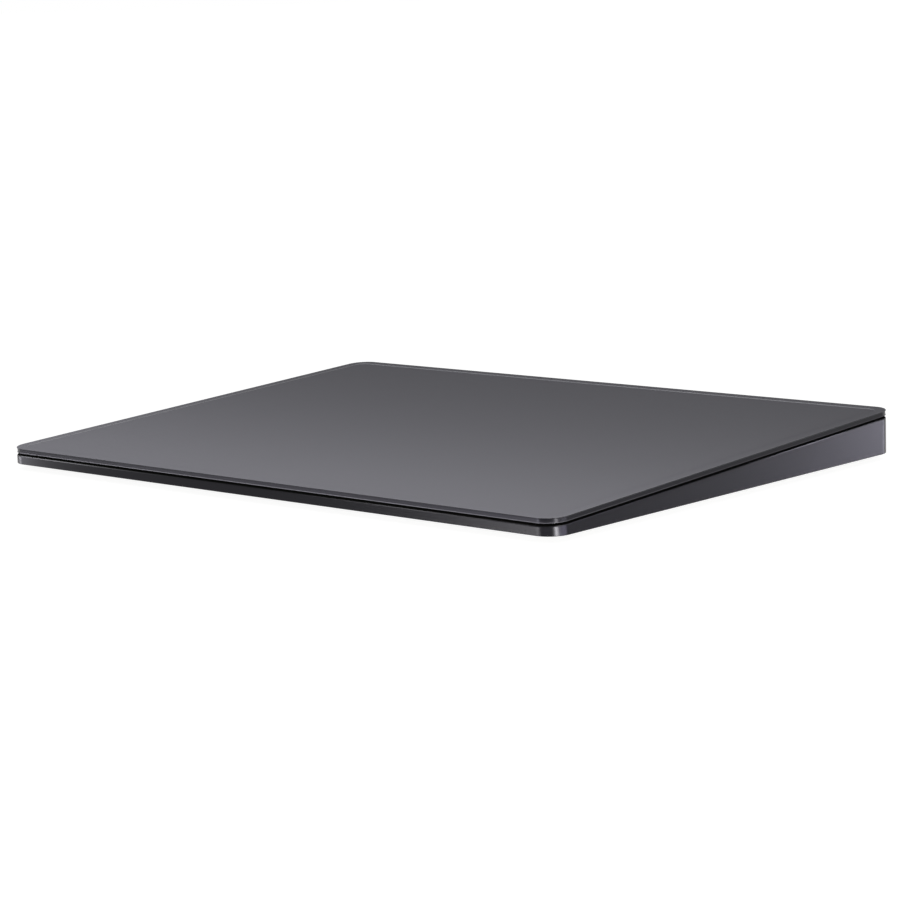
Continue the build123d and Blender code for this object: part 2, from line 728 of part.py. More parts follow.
def make_switch():
    """Slide switch on the main board's rear end, and the knob in the wall that it carries."""
    channel = slider_width + switch_travel + 2 * knob_gap
    housing = block(main_x - housing_half, main_x + housing_half, housing_front, housing_rear, board_top,
                    2 * socket_z - board_top)
    housing -= Pos(slot_x, 0, socket_z) * along_y(Rectangle(channel, slider_height + 2 * knob_gap),
                                                  housing_rear - slider_depth - knob_gap,
                                                  housing_rear + overrun)
    tab_rear = flange_front + tab_depth
    slider = along_y(Rectangle(slider_width, slider_height), housing_rear - slider_depth, housing_rear)
    slider += along_y(Rectangle(tab_width, slider_height), housing_rear, tab_rear)
    knob = along_y(stadium(knob_width, knob_height), flange_rear, knob_face)
    flange_half = knob_width / 2 + switch_travel + knob_gap + flange_lap
    knob += along_y(Rectangle(2 * flange_half, slot_height + 2 * flange_lap), flange_front, flange_rear)
    knob -= along_y(Rectangle(tab_width + 2 * tab_fit, slider_height + 2 * tab_fit),
                    flange_front - overrun, tab_rear + tab_fit)
    for i in range(knob_groove_count):
        x = (i - (knob_groove_count - 1) / 2) * knob_groove_pitch
        knob -= along_y(Pos(x, 0) * Rectangle(knob_groove, knob_height), knob_face - knob_groove,
                        knob_face + overrun)
    place = Pos(main_x, 0, socket_z)
    return {"switch_housing": housing, "switch_slider": place * slider, "switch_knob": place * knob}


nodes = {
    "enclosure": make_enclosure(),
    "base_sheet": make_base_sheet(),
    "base_adhesive": make_base_adhesive(),
    **make_feet(),
    "glass_plate": make_glass(),
    **make_plate_stack(),
    **make_pads(),
    **make_flexures(),
    "gauge_flex": make_gauge_flex(),
    **make_haptic_unit(),
    **make_battery(),
    **make_main_board(),
    "touch_flex": make_touch_flex(),
    **make_antenna(),
    **make_charge_socket(),
    **make_switch(),
}
os.makedirs("parts", exist_ok=True)
for name, shape in nodes.items():
    export_step(shape, f"parts/{name}.step")
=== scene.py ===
"""Looks of the desk trackpad: finishes of all pieces, a finer plate and body, and the small pieces on them.

Metres, in the frame of the solids: +X to the right, +Y to the rear, +Z up, the origin on the desk.
"""
import bmesh
import bpy
import json
from math import atan2, copysign, cos, pi, radians, sin, tan
from mathutils import Matrix, Vector


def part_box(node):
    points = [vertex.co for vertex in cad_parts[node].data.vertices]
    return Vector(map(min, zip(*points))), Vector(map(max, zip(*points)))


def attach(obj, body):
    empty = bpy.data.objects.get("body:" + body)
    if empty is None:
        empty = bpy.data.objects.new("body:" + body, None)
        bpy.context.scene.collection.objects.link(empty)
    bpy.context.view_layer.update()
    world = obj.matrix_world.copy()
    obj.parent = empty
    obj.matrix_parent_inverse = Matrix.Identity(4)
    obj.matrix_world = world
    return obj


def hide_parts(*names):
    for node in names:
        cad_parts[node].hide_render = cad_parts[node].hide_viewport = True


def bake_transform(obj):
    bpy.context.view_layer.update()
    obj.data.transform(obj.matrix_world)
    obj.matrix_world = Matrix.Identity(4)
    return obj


MM = 0.001

# Camera, as fitted to the edges of the photographed body
VIEW_AZIMUTH = radians(42.371)
VIEW_ELEVATION = radians(9.331)
VIEW_ROLL = radians(-1.836)
VIEW_DISTANCE = 612.017 * MM
VIEW_AIM = Vector((0, 0, 4.94)) * MM
VIEW_SLIDE = (1.517 * MM, -1.921 * MM)      # across and up, in the picture's plane
VIEW_LENS_SHARE = 2770.304 / 900            # focal length as a share of the picture's width
SENSOR = 36.0                               # width of the camera's picture, in its own millimetres

# Plate
CORNER_RADIUS = 4.5 * MM
REAR_RISE = 6.0 * MM
PLATE_THICKNESS = 1.2 * MM
TOP_EASE = 0.03 * MM            # eased top edge
FIELD_INSET = 2.35 * MM         # touch field inside its rim
FIELD_SINK = 0.15 * MM          # touch field below its rim
EDGE_LIP = 0.15 * MM            # glass above its drawn-in side
SIDE_SETBACK = 0.12 * MM
TRAY_HEIGHT = 0.28 * MM         # metal tray under the glass
TRAY_SETBACK = 0.03 * MM
TRAY_STEP = 0.09 * MM           # step up of the tray's rim from its underside
TRAY_STEP_WIDTH = 0.8 * MM
LOW_EASE = 0.05 * MM            # eased lower edge of the tray
CORNER_STEPS = 24               # round each corner

# Body
BASE_EDGE = 0.1 * MM            # eased lower edge of the body
CAD_BASE_EDGE = 0.3 * MM        # the same edge of the solid
RIM_LAND_DROP = 2.0 * MM        # the land is less far below the glass than this

# Meshes
CLOSE = 0.02 * MM               # points nearer than this to a place count as being there
WELD = 0.001 * MM               # corners of loose triangles that meet
SHARP = radians(20)             # edges that turn by more stay sharp
FLAT = radians(10)              # faces that lean by less count as flat
SAME_PLANE = radians(0.5)       # triangles that turn by less are joined
SAME_SLOPE = radians(1)         # faces that lean by less from the deck are parallel to it

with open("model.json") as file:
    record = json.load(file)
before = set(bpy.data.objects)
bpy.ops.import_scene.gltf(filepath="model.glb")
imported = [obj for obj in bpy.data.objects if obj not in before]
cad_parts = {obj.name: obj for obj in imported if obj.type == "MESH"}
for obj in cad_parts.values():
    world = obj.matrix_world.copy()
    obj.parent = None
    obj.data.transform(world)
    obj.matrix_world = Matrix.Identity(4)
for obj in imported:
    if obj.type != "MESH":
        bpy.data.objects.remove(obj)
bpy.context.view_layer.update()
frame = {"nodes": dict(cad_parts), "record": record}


# Finishes

TRACE_SPACING = 0.6 * MM        # copper lines of the circuit boards
TRACE_WIDTH = 0.22 * MM
TRACE_PATCHES = 150.0           # patches to the metre in which the lines run one way
PAD_SPOTS = 330.0               # places to the metre for a bare pad
PAD_REACH = 0.12                # of a place's size
FLEX_SPACING = 0.5 * MM         # lines under the amber film
WIRE_PITCH = 0.16 * MM          # turns of the coils
KNOB_HALF_WIDTH = 2.7 * MM
FINE_BUMP = 0.005 * MM          # depths of the finishes' grain
PLAIN_BUMP = 0.01 * MM
DEEP_BUMP = 0.02 * MM
CREASE_BUMP = 0.12 * MM


class Wiring:
    """A node tree, with short ways to add a node and to feed its sockets."""

    def __init__(self, tree):
        self.tree = tree

    def feed(self, socket, value):
        """A value or a link into one socket."""
        if isinstance(value, bpy.types.NodeSocket):
            self.tree.links.new(value, socket)
        else:
            socket.default_value = value

    def node(self, kind, settings=None, **inputs):
        """A new node; settings are its own properties, inputs its sockets' values or links."""
        made = self.tree.nodes.new(kind)
        for name, value in (settings or {}).items():
            setattr(made, name, value)
        for name, value in inputs.items():
            wanted = name.replace("_", " ")
            self.feed(next(s for s in made.inputs if s.name == wanted and s.enabled), value)
        return made

    def joined(self, kind, *values, **settings):
        """First output of a new node whose sockets are fed in their order."""
        made = self.node(kind, settings)
        for socket, value in zip(made.inputs, values):
            self.feed(socket, value)
        return made.outputs[0]

    def maths(self, operation, *values):
        return self.joined("ShaderNodeMath", *values, operation=operation)


class Finish(Wiring):
    """A procedural material: one shader, and textures that read Object coordinates."""

    def __init__(self, name, **sockets):
        self.material = bpy.data.materials.new(name)
        self.material.use_nodes = True
        super().__init__(self.material.node_tree)
        self.shader = self.tree.nodes["Principled BSDF"]
        self.place = self.tree.nodes.new("ShaderNodeTexCoord").outputs["Object"]
        for socket, value in sockets.items():
            self.shader.inputs[socket.replace("_", " ")].default_value = value

    def stretched(self, scale):
        """Object coordinates stretched by a scale along each axis."""
        return self.node("ShaderNodeMapping", Vector=self.place, Scale=scale).outputs["Vector"]

    def noise(self, scale, detail=2.0, roughness=0.5, vector=None):
        return self.node("ShaderNodeTexNoise", Vector=vector or self.place, Scale=scale, Detail=detail,
                         Roughness=roughness).outputs["Fac"]

    def along(self, axis):
        """One coordinate of the place on the object."""
        return self.node("ShaderNodeSeparateXYZ", Vector=self.place).outputs[axis]

    def lined(self, distance, spacing, width):
        """1 on lines of a width, at a spacing along a distance; 0 between them."""
        return self.maths("LESS_THAN", self.maths("WRAP", distance, spacing, 0.0), width)

    def ranged(self, value, low, high):
        """A value from 0 to 1 spread between a low and a high one."""
        return self.node("ShaderNodeMapRange", Value=value, To_Min=low, To_Max=high).outputs["Result"]

    def mixed(self, factor, first, second):
        """Two colours mixed by a factor."""
        made = self.node("ShaderNodeMix", {"data_type": "RGBA"})
        colours = [s for s in made.inputs if s.type == "RGBA"]
        self.feed(made.inputs["Factor"], factor)
        self.feed(colours[0], first)
        self.feed(colours[1], second)
        return next(s for s in made.outputs if s.type == "RGBA")

    def coloured(self, factor, first, second):
        self.feed(self.shader.inputs["Base Color"], self.mixed(factor, first, second))

    def roughened(self, factor, low, high):
        self.feed(self.shader.inputs["Roughness"], self.ranged(factor, low, high))

    def bumped(self, height, strength, distance):
        bump = self.node("ShaderNodeBump", Height=height, Strength=strength, Distance=distance)
        self.feed(self.shader.inputs["Normal"], bump.outputs["Normal"])


def darker(colour, share):
    """A colour taken down to a share of its light."""
    return tuple(share * c for c in colour[:3]) + (1,)


def satin_glass(name, light):
    """Etched dark glass with hardly any shine of its own."""
    made = Finish(name, Specular_IOR_Level=0.004)
    cloud = made.noise(60.0, 3.0)
    made.coloured(cloud, darker(light, 0.955), light)
    made.roughened(cloud, 0.55, 0.6)
    return made.material


def dark_metal(name, colour, roughness, grain):
    """Dark satin metal, finished with fine lines round its edge, so that lights stretch up and down."""
    made = Finish(name, Metallic=1.0, Anisotropic=0.9, Anisotropic_Rotation=0.25)
    fine = made.noise(grain, 2.0)
    cloud = made.noise(90.0, 3.0)
    made.coloured(cloud, darker(colour, 0.94), colour)
    made.roughened(cloud, roughness - 0.02, roughness + 0.02)
    made.bumped(fine, 0.05, FINE_BUMP)
    return made.material


def blasted(name, colour, roughness, grain):
    """Dark metal with an even blasted grain, for the flats inside the body and under it."""
    made = Finish(name, Metallic=1.0)
    fine = made.noise(grain, 2.0)
    made.coloured(fine, darker(colour, 0.9), colour)
    made.roughened(made.noise(120.0, 3.0), roughness - 0.04, roughness + 0.04)
    made.bumped(fine, 0.15, PLAIN_BUMP)
    return made.material


def moulded(name, colour, roughness=0.45, grain=4000.0, shine=0.5):
    """Moulded plastic with a fine spark-eroded grain."""
    made = Finish(name, Specular_IOR_Level=shine)
    fine = made.noise(grain, 2.0)
    made.coloured(fine, darker(colour, 0.85), colour)
    made.roughened(made.noise(grain / 30), roughness - 0.05, roughness + 0.08)
    made.bumped(fine, 0.25, DEEP_BUMP)
    return made.material


def rolled_metal(name, colour, roughness=0.3):
    """Rolled sheet, with fine lines along X."""
    made = Finish(name, Metallic=1.0)
    lines = made.noise(400.0, 4.0, 0.6, made.stretched((1, 30, 30)))
    made.coloured(lines, darker(colour, 0.8), colour)
    made.roughened(lines, roughness - 0.08, roughness + 0.12)
    made.bumped(lines, 0.15, PLAIN_BUMP)
    return made.material


def circuit_board():
    """Solder mask over copper lines that run one way or the other, patch by patch, with bare pads."""
    made = Finish("circuit_board")
    boxes = {"distance": "CHEBYCHEV"}
    patches = made.node("ShaderNodeTexVoronoi", boxes, Vector=made.place, Scale=TRACE_PATCHES)
    chance = made.node("ShaderNodeSeparateXYZ", Vector=patches.outputs["Color"]).outputs["X"]
    way = made.maths("GREATER_THAN", chance, 0.5)
    across = made.lined(made.along("X"), TRACE_SPACING, TRACE_WIDTH)
    along = made.lined(made.along("Y"), TRACE_SPACING, TRACE_WIDTH)
    first = made.maths("MULTIPLY", way, across)
    second = made.maths("MULTIPLY", made.maths("SUBTRACT", 1.0, way), along)
    traces = made.maths("ADD", first, second)
    spots = made.node("ShaderNodeTexVoronoi", boxes, Vector=made.place, Scale=PAD_SPOTS)
    pads = made.maths("LESS_THAN", spots.outputs["Distance"], PAD_REACH)
    cloud = made.noise(500.0, 2.0)
    mask = made.mixed(cloud, (0.006, 0.020, 0.014, 1), (0.008, 0.026, 0.018, 1))
    covered = made.mixed(traces, mask, (0.020, 0.075, 0.048, 1))
    made.coloured(pads, covered, (0.80, 0.58, 0.28, 1))
    made.feed(made.shader.inputs["Metallic"], pads)
    made.roughened(cloud, 0.28, 0.4)
    made.bumped(made.maths("ADD", traces, pads), 0.3, DEEP_BUMP)
    return made.material


def flex_film():
    """Amber film over copper lines."""
    made = Finish("flex_film")
    lines = made.lined(made.along("X"), FLEX_SPACING, FLEX_SPACING / 2)
    cloud = made.noise(300.0, 3.0)
    film = made.mixed(cloud, (0.30, 0.11, 0.018, 1), (0.36, 0.14, 0.024, 1))
    made.coloured(lines, film, (0.46, 0.21, 0.05, 1))
    made.roughened(cloud, 0.2, 0.32)
    made.bumped(lines, 0.2, PLAIN_BUMP)
    return made.material


def wound_copper():
    """Enamelled wire, turn beside turn round the middle of the coils, with painted shade in the grooves
    between turns.
    """
    made = Finish("copper_winding", Metallic=1.0)
    low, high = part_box("haptic_coils")
    middle = (low + high) / 2
    beside = made.maths("ABSOLUTE", made.maths("SUBTRACT", made.along("X"), middle.x))
    before = made.maths("ABSOLUTE", made.maths("SUBTRACT", made.along("Y"), middle.y))
    ring = made.lined(made.maths("MAXIMUM", beside, before), WIRE_PITCH, WIRE_PITCH / 4)
    layer = made.lined(made.along("Z"), WIRE_PITCH, WIRE_PITCH / 4)
    groove_with_painted_shade = made.maths("MAXIMUM", ring, layer)
    # the grooves between turns are painted darker: painted shade, on top of their bump
    made.coloured(groove_with_painted_shade, (0.62, 0.26, 0.11, 1), (0.20, 0.07, 0.03, 1))
    made.roughened(made.noise(900.0), 0.22, 0.38)
    made.bumped(made.maths("SUBTRACT", 1.0, groove_with_painted_shade), 0.5, DEEP_BUMP)
    return made.material


def pouch_foil():
    """Laminated foil, drawn over the cell, with soft creases."""
    made = Finish("battery_pouch", Metallic=0.35)
    creases = made.noise(140.0, 5.0, 0.65)
    fine = made.noise(2500.0, 2.0)
    made.coloured(creases, (0.10, 0.10, 0.105, 1), (0.15, 0.15, 0.155, 1))
    made.roughened(fine, 0.32, 0.48)
    made.bumped(creases, 0.35, CREASE_BUMP)
    return made.material


def marked_knob():
    """Satin knob; the flange to its left is painted green, which shows when the switch is on."""
    made = Finish("switch_knob")
    low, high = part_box("switch_knob")
    edge = (low.x + high.x) / 2 - KNOB_HALF_WIDTH
    painted = made.maths("LESS_THAN", made.along("X"), edge)
    grain = made.noise(4000.0)
    satin = made.mixed(grain, (0.085, 0.085, 0.09, 1), (0.1, 0.1, 0.106, 1))
    green = made.mixed(grain, (0.02, 0.42, 0.07, 1), (0.025, 0.47, 0.08, 1))
    made.coloured(painted, satin, green)
    made.roughened(made.noise(150.0), 0.38, 0.5)
    made.bumped(grain, 0.2, PLAIN_BUMP)
    return made.material


FINISHES = {
    # the body's metal is darker than the real metal: painted shade, for the dark room that its sides reflect
    "anodised_body": dark_metal("anodised_body", (0.0175, 0.0170, 0.0203, 1), 0.42, 9000.0),
    "plate_tray": dark_metal("plate_tray", (0.060, 0.0585, 0.0670, 1), 0.42, 9000.0),
    "glass_edge": dark_metal("glass_edge", (0.0250, 0.0243, 0.0290, 1), 0.42, 9000.0),
    "blasted_flats": blasted("blasted_flats", (0.030, 0.0295, 0.0325, 1), 0.5, 5000.0),
    "satin_glass": satin_glass("satin_glass", (0.088, 0.087, 0.097, 1)),
    # a lighter copy of the glass, for the step round the touch field: a painted highlight
    "field_step": satin_glass("field_step", (0.106, 0.105, 0.116, 1)),
    "base_cover": moulded("base_cover", (0.09, 0.09, 0.095, 1), 0.5),
    "adhesive": moulded("adhesive", (0.5, 0.5, 0.48, 1), 0.6),
    "foot_rubber": moulded("foot_rubber", (0.045, 0.045, 0.047, 1), 0.7),
    "black_moulding": moulded("black_moulding", (0.006, 0.006, 0.0065, 1), 0.6, shine=0.05),
    # black for the land round the top of the body and for the plate's underside: painted shade, where they
    # lie in the gap under the glass
    "dull_black": moulded("dull_black", (0.003, 0.003, 0.003, 1), 0.8, shine=0.0),
    "circuit_board": circuit_board(),
    "chip": moulded("chip", (0.02, 0.02, 0.021, 1)),
    "connector": moulded("connector", (0.03, 0.03, 0.032, 1)),
    "steel_sheet": rolled_metal("steel_sheet", (0.55, 0.55, 0.56, 1)),
    "gel": moulded("gel", (0.35, 0.36, 0.4, 1), 0.3),
    "screw": rolled_metal("screw", (0.5, 0.5, 0.52, 1), 0.25),
    "spring_steel": rolled_metal("spring_steel", (0.5, 0.49, 0.47, 1)),
    "flex_film": flex_film(),
    "core_iron": rolled_metal("core_iron", (0.3, 0.3, 0.31, 1), 0.4),
    "copper_winding": wound_copper(),
    "battery_pouch": pouch_foil(),
    "shield_can": rolled_metal("shield_can", (0.72, 0.72, 0.7, 1), 0.2),
    "antenna_brass": rolled_metal("antenna_brass", (0.8, 0.62, 0.3, 1), 0.2),
    "socket_steel": rolled_metal("socket_steel", (0.45, 0.45, 0.46, 1), 0.3),
    "switch_knob": marked_knob(),
    "contact_gold": rolled_metal("contact_gold", (0.86, 0.62, 0.27, 1), 0.25),
}


def finish_nodes():
    """Gives every solid the finish that the record names for it."""
    for part in frame["record"]["subparts"]:
        node = frame["nodes"][part["node"]]
        node.data.materials.clear()
        node.data.materials.append(FINISHES[part["material_slot"]])


# The deck, the sloping plane of the glass

plate_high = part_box("glass_plate")[1]
body_low, body_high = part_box("enclosure")
WIDTH = body_high.x - body_low.x
DEPTH = body_high.y - body_low.y
TILT = atan2(REAR_RISE, DEPTH)
GLASS_FRONT = -DEPTH / 2 / cos(TILT)
GLASS_REAR = (DEPTH / 2 - PLATE_THICKNESS * sin(TILT)) / cos(TILT)
MID_HEIGHT = plate_high.z - (GLASS_REAR - TOP_EASE) * sin(TILT)
DECK = Matrix.Translation((0, 0, MID_HEIGHT)) @ Matrix.Rotation(TILT, 4, "X")


def rounded_outline(inset, drop):
    """Loop round the plate at an inset from its edge and a drop below its top, anticlockwise from above."""
    radius = max(CORNER_RADIUS - inset, CORNER_RADIUS / CORNER_STEPS)
    half = WIDTH / 2 - inset - radius
    front = GLASS_FRONT + inset + radius
    rear = GLASS_REAR - inset - radius
    points = []
    for quarter, (x, v) in enumerate(((half, rear), (-half, rear), (-half, front), (half, front))):
        for step in range(CORNER_STEPS + 1):
            turn = (quarter + step / CORNER_STEPS) * pi / 2
            points.append(DECK @ Vector((x + radius * cos(turn), v + radius * sin(turn), -drop)))
    return points


def kept(form, name):
    """A mesh in the making turned into a piece of the scene, with its faces pointing out."""
    bmesh.ops.recalc_face_normals(form, faces=form.faces)
    mesh = bpy.data.meshes.new(name)
    form.to_mesh(mesh)
    form.free()
    made = bpy.data.objects.new(name, mesh)
    bpy.context.scene.collection.objects.link(made)
    return made


def skin(name, loops, row_finishes):
    """Closed mesh over a stack of like loops, flat at both ends, each row with its own finish."""
    form = bmesh.new()
    rows = [[form.verts.new(p) for p in loop] for loop in loops]
    form.faces.new(rows[0])
    underside = form.faces.new(reversed(rows[-1]))
    underside.material_index = row_finishes[-1]
    for above, below, finish in zip(rows, rows[1:], row_finishes):
        count = len(above)
        for i in range(count):
            face = form.faces.new((above[i], below[i], below[(i + 1) % count], above[(i + 1) % count]))
            face.material_index = finish
    return kept(form, name)


def make_plain(obj):
    """The mesh that an object's modifiers make, kept in their place."""
    depsgraph = bpy.context.evaluated_depsgraph_get()
    mesh = bpy.data.meshes.new_from_object(obj.evaluated_get(depsgraph))
    obj.modifiers.clear()
    obj.data = mesh


def weighted(obj):
    """Sharp edges by angle and normals weighted by face area, kept in a plain mesh."""
    bpy.context.view_layer.objects.active = obj
    for face in obj.data.polygons:
        face.use_smooth = True
    form = bmesh.new()
    form.from_mesh(obj.data)
    for edge in form.edges:
        edge.smooth = len(edge.link_faces) == 2 and edge.calc_face_angle(0.0) < SHARP
    form.to_mesh(obj.data)
    form.free()
    modifier = obj.modifiers.new("weights", "WEIGHTED_NORMAL")
    modifier.keep_sharp = True
    modifier.weight = 100
    make_plain(obj)


# on the plate's top, edge, tray and underside, and the step round its touch field; the step's glass is
# lighter, a painted highlight, and the underside is painted black, painted shade
PLATE_FINISHES = ("satin_glass", "glass_edge", "plate_tray", "dull_black", "field_step")


def fine_plate():
    """Glass on its thin metal tray: a rim round the touch field, eased edges, and the tray's lip."""
    side = PLATE_THICKNESS - TRAY_HEIGHT
    top, edge, tray, underside, step = range(len(PLATE_FINISHES))
    profile = [
        # the step up from the touch field to its rim takes the lighter glass: a painted highlight
        (FIELD_INSET + FIELD_SINK, FIELD_SINK, step),
        (FIELD_INSET, 0, top),
        (TOP_EASE, 0, top),
        (0, TOP_EASE, edge),
        (0, EDGE_LIP, edge),
        (SIDE_SETBACK, EDGE_LIP + SIDE_SETBACK, edge),
        (SIDE_SETBACK, side, tray),
        (TRAY_SETBACK, side + SIDE_SETBACK - TRAY_SETBACK, tray),
        # the tray's underside is painted black: painted shade, where it shows in the gap
        (TRAY_SETBACK, PLATE_THICKNESS - TRAY_STEP - LOW_EASE, underside),
        (TRAY_SETBACK + LOW_EASE, PLATE_THICKNESS - TRAY_STEP, underside),
        (TRAY_STEP_WIDTH, PLATE_THICKNESS - TRAY_STEP, underside),
        (TRAY_STEP_WIDTH, PLATE_THICKNESS, underside),
    ]
    loops = [rounded_outline(inset, drop) for inset, drop, finish in profile]
    plate = skin("glass_plate_fine", loops, [finish for inset, drop, finish in profile])
    for finish in PLATE_FINISHES:
        plate.data.materials.append(FINISHES[finish])
    weighted(plate)
    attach(plate, "touch_plate")
    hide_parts("glass_plate")
    return plate


def outline_reach(point):
    """How far a point lies inside the body's upright outline, and the way out there."""
    core = Vector((WIDTH / 2 - CORNER_RADIUS, DEPTH / 2 - CORNER_RADIUS))
    over = Vector((max(abs(point.x) - core.x, 0), max(abs(point.y) - core.y, 0)))
    out = over.normalized()
    out.x = copysign(out.x, point.x)
    out.y = copysign(out.y, point.y)
    return CORNER_RADIUS - over.length, out


def sharpen_low_edge(vert):
    """Draws the chamfer at the foot of the body in to a finer one."""
    inset, out = outline_reach(vert.co)
    above = vert.co.z - body_low.z
    if above < CLOSE and CAD_BASE_EDGE - CLOSE < inset < CAD_BASE_EDGE + CLOSE:
        vert.co.xy += out * (CAD_BASE_EDGE - BASE_EDGE)
    elif inset < CLOSE and CAD_BASE_EDGE - CLOSE < above < CAD_BASE_EDGE + CLOSE:
        vert.co.z = body_low.z + BASE_EDGE


def on_rim_land(face):
    """Whether a face is the land round the top of the body, which lies in the shade of the plate and is
    painted black for that shade.
    """
    place = DECK.inverted() @ face.calc_center_median()
    return face.normal.dot(DECK.col[2].xyz) > cos(SAME_SLOPE) and place.z > -RIM_LAND_DROP


# the body's finishes after that of its outside, which comes with the solid; that of the land is black,
# painted shade
LAND_PAINTED_SHADE = 1
FLAT_FINISH = 2


def fine_body():
    """The body with its loose triangles joined, a finer lower edge and round corners shaded smooth."""
    source = frame["nodes"]["enclosure"]
    body = bpy.data.objects.new("body_fine", source.data.copy())
    bpy.context.scene.collection.objects.link(body)
    form = bmesh.new()
    form.from_mesh(body.data)
    bmesh.ops.remove_doubles(form, verts=form.verts, dist=WELD)
    bmesh.ops.dissolve_limit(form, angle_limit=SAME_PLANE, verts=form.verts, edges=form.edges)
    for vert in form.verts:
        sharpen_low_edge(vert)
    for face in form.faces:
        # the land under the plate is painted black: painted shade
        if on_rim_land(face):
            face.material_index = LAND_PAINTED_SHADE
        elif abs(face.normal.z) > cos(FLAT):
            face.material_index = FLAT_FINISH
    form.to_mesh(body.data)
    form.free()
    body.data.materials.append(FINISHES["dull_black"])
    body.data.materials.append(FINISHES["blasted_flats"])
    weighted(body)
    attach(body, "base")
    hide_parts("enclosure")
    return body


# The flex between the main board and the touch plate

FLEX_THICKNESS = 0.14 * MM      # a hair under the room between its connectors
FLEX_SEAT = 2.6 * MM            # length that lies on a connector, at either end
FLEX_STEPS = 20                 # along its free length


def flex_height(share, front, rear, length):
    """Height along the flex's free length, which leaves the sloping seat and comes level to the other."""
    leave = (share ** 3 - 2 * share ** 2 + share) * length * tan(TILT)
    return front + (rear - front) * (3 * share ** 2 - 2 * share ** 3) + leave


def fine_touch_flex():
    """Film lead from the main board up to the touch plate; its front end lies on a seat at the plate's slope.
    """
    low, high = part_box("touch_flex")
    front_y = low.y + FLEX_SEAT
    rear_y = high.y - FLEX_SEAT
    front = low.z + FLEX_SEAT * tan(TILT)
    rear = high.z - FLEX_THICKNESS
    line = [(low.y, low.z)]
    for step in range(FLEX_STEPS + 1):
        share = step / FLEX_STEPS
        y = front_y + share * (rear_y - front_y)
        line.append((y, flex_height(share, front, rear, rear_y - front_y)))
    line.append((high.y, rear))
    form = bmesh.new()
    rows = []
    for y, z in line:
        places = ((low.x, z), (high.x, z), (high.x, z + FLEX_THICKNESS), (low.x, z + FLEX_THICKNESS))
        rows.append([form.verts.new((x, y, height)) for x, height in places])
    form.faces.new(rows[0])
    form.faces.new(rows[-1])
    for before, after in zip(rows, rows[1:]):
        for i in range(4):
            form.faces.new((before[i], before[i - 1], after[i - 1], after[i]))
    flex = kept(form, "touch_flex_fine")
    flex.data.materials.append(FINISHES["flex_film"])
    weighted(flex)
    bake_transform(flex)
    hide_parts("touch_flex")


# Small pieces that repeat, made by Geometry Nodes

class Pattern(Wiring):
    """A Geometry Nodes tree that puts one piece on every point, with its sizes as inputs."""

    def __init__(self, name, sizes):
        super().__init__(bpy.data.node_groups.new(name, "GeometryNodeTree"))
        self.sizes = sizes
        self.tree.interface.new_socket("Points", in_out="INPUT", socket_type="NodeSocketGeometry")
        for size in sizes:
            self.tree.interface.new_socket(size, in_out="INPUT", socket_type="NodeSocketFloat")
        self.tree.interface.new_socket("Finish", in_out="INPUT", socket_type="NodeSocketMaterial")
        self.tree.interface.new_socket("Pieces", in_out="OUTPUT", socket_type="NodeSocketGeometry")
        self.given = self.tree.nodes.new("NodeGroupInput").outputs
        place = self.node("GeometryNodeInputPosition").outputs[0]
        self.x, self.y, self.z = self.node("ShaderNodeSeparateXYZ", Vector=place).outputs

    def point(self, x=0.0, y=0.0, z=0.0):
        return self.node("ShaderNodeCombineXYZ", X=x, Y=y, Z=z).outputs[0]

    def scaled(self, value, share):
        return self.maths("MULTIPLY", value, share)

    def moved(self, piece, where, **change):
        """A piece with some of its points set to a new Position or shifted by an Offset."""
        return self.node("GeometryNodeSetPosition", Geometry=piece, Selection=where, **change).outputs[0]

    def shifted(self, piece, **shift):
        """The whole of a piece shifted along x, y or z."""
        return self.node("GeometryNodeTransform", Geometry=piece, Translation=self.point(**shift)).outputs[0]

    def place_on_points(self, piece):
        """One piece on each point, turned by the point's own angles, made real and given its finish."""
        turn = self.node("GeometryNodeInputNamedAttribute", {"data_type": "FLOAT_VECTOR"}, Name="turn")
        placed = self.node("GeometryNodeInstanceOnPoints", Points=self.given["Points"], Instance=piece,
                           Rotation=turn.outputs["Attribute"])
        real = self.node("GeometryNodeRealizeInstances", Geometry=placed.outputs["Instances"])
        finished = self.node("GeometryNodeSetMaterial", Geometry=real.outputs["Geometry"],
                             Material=self.given["Finish"])
        self.node("NodeGroupOutput", Pieces=finished.outputs["Geometry"])

    def grow(self, name, places, finish):
        """Plain mesh of the pieces at the given places, each a point and its turn."""
        mesh = bpy.data.meshes.new(name)
        mesh.from_pydata([tuple(p) for p, turn in places], [], [])
        turns = mesh.attributes.new("turn", "FLOAT_VECTOR", "POINT")
        for index, (p, turn) in enumerate(places):
            turns.data[index].vector = turn
        seeds = bpy.data.objects.new(name, mesh)
        bpy.context.scene.collection.objects.link(seeds)
        modifier = seeds.modifiers.new("pattern", "NODES")
        modifier.node_group = self.tree
        values = dict(self.sizes, Finish=finish)
        for socket in self.tree.interface.items_tree:
            if socket.in_out == "INPUT" and socket.name in values:
                modifier[socket.identifier] = values[socket.name]
        make_plain(seeds)
        return seeds


def flat_top(island):
    """Centre of the nearly level top of one piece, and the normal there."""
    normal = Vector((0, 0, 0))
    for face in dict.fromkeys(face for vert in island for face in vert.link_faces):
        if face.normal.z > cos(FLAT):
            normal += face.normal * face.calc_area()
    normal.normalize()
    top = max(vert.co.dot(normal) for vert in island)
    middle = sum((vert.co for vert in island), Vector()) / len(island)
    return middle + normal * (top - middle.dot(normal)), normal


def joined_to(start, seen):
    """All the points of the piece that a first point belongs to, each noted as seen."""
    seen.add(start)
    island = [start]
    for vert in island:
        for link in vert.link_edges:
            other = link.other_vert(vert)
            if other not in seen:
                seen.add(other)
                island.append(other)
    return island


